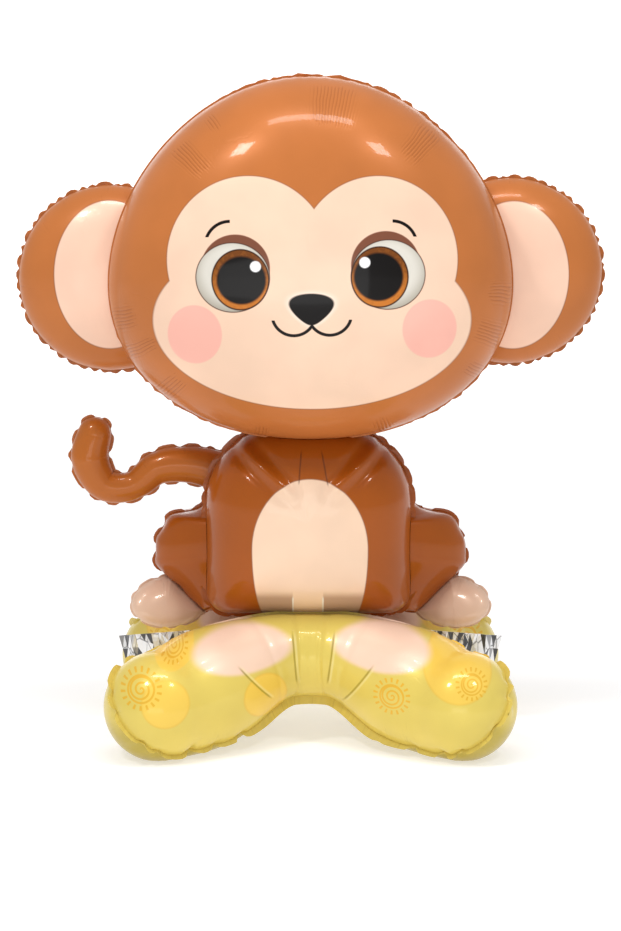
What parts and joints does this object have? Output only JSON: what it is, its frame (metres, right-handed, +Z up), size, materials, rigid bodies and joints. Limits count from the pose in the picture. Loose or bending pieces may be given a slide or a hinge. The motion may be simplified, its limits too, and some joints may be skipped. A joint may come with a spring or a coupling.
{
  "type": "monkey foil balloon",
  "caption": "Standing party balloon: a sitting monkey of air-filled foil pillows with round ears and a curled tail, on an arched cushion base with a silver strip.",
  "frame": {"origin": "on the floor, under the middle of the base", "axes": "+Z up, the monkey looks along -Y, and its tail comes out on the -X side"},
  "size_m": [0.589, 0.3616, 0.656],
  "materials": {
    "brown_film": "satin metallised film with print",
    "dark_brown_film": "satin metallised film with print",
    "yellow_film": "satin metallised film with print",
    "silver_film": "bright crinkled foil"
  },
  "bodies": {
    "root": {"head": "brown_film", "ear_left": "brown_film", "ear_right": "brown_film", "torso": "dark_brown_film", "haunches_feet_tail": "dark_brown_film", "base_front_cushion": "yellow_film", "base_rear_cushion": "yellow_film", "silver_strip": "silver_film"}
  },
  "joints": []
}
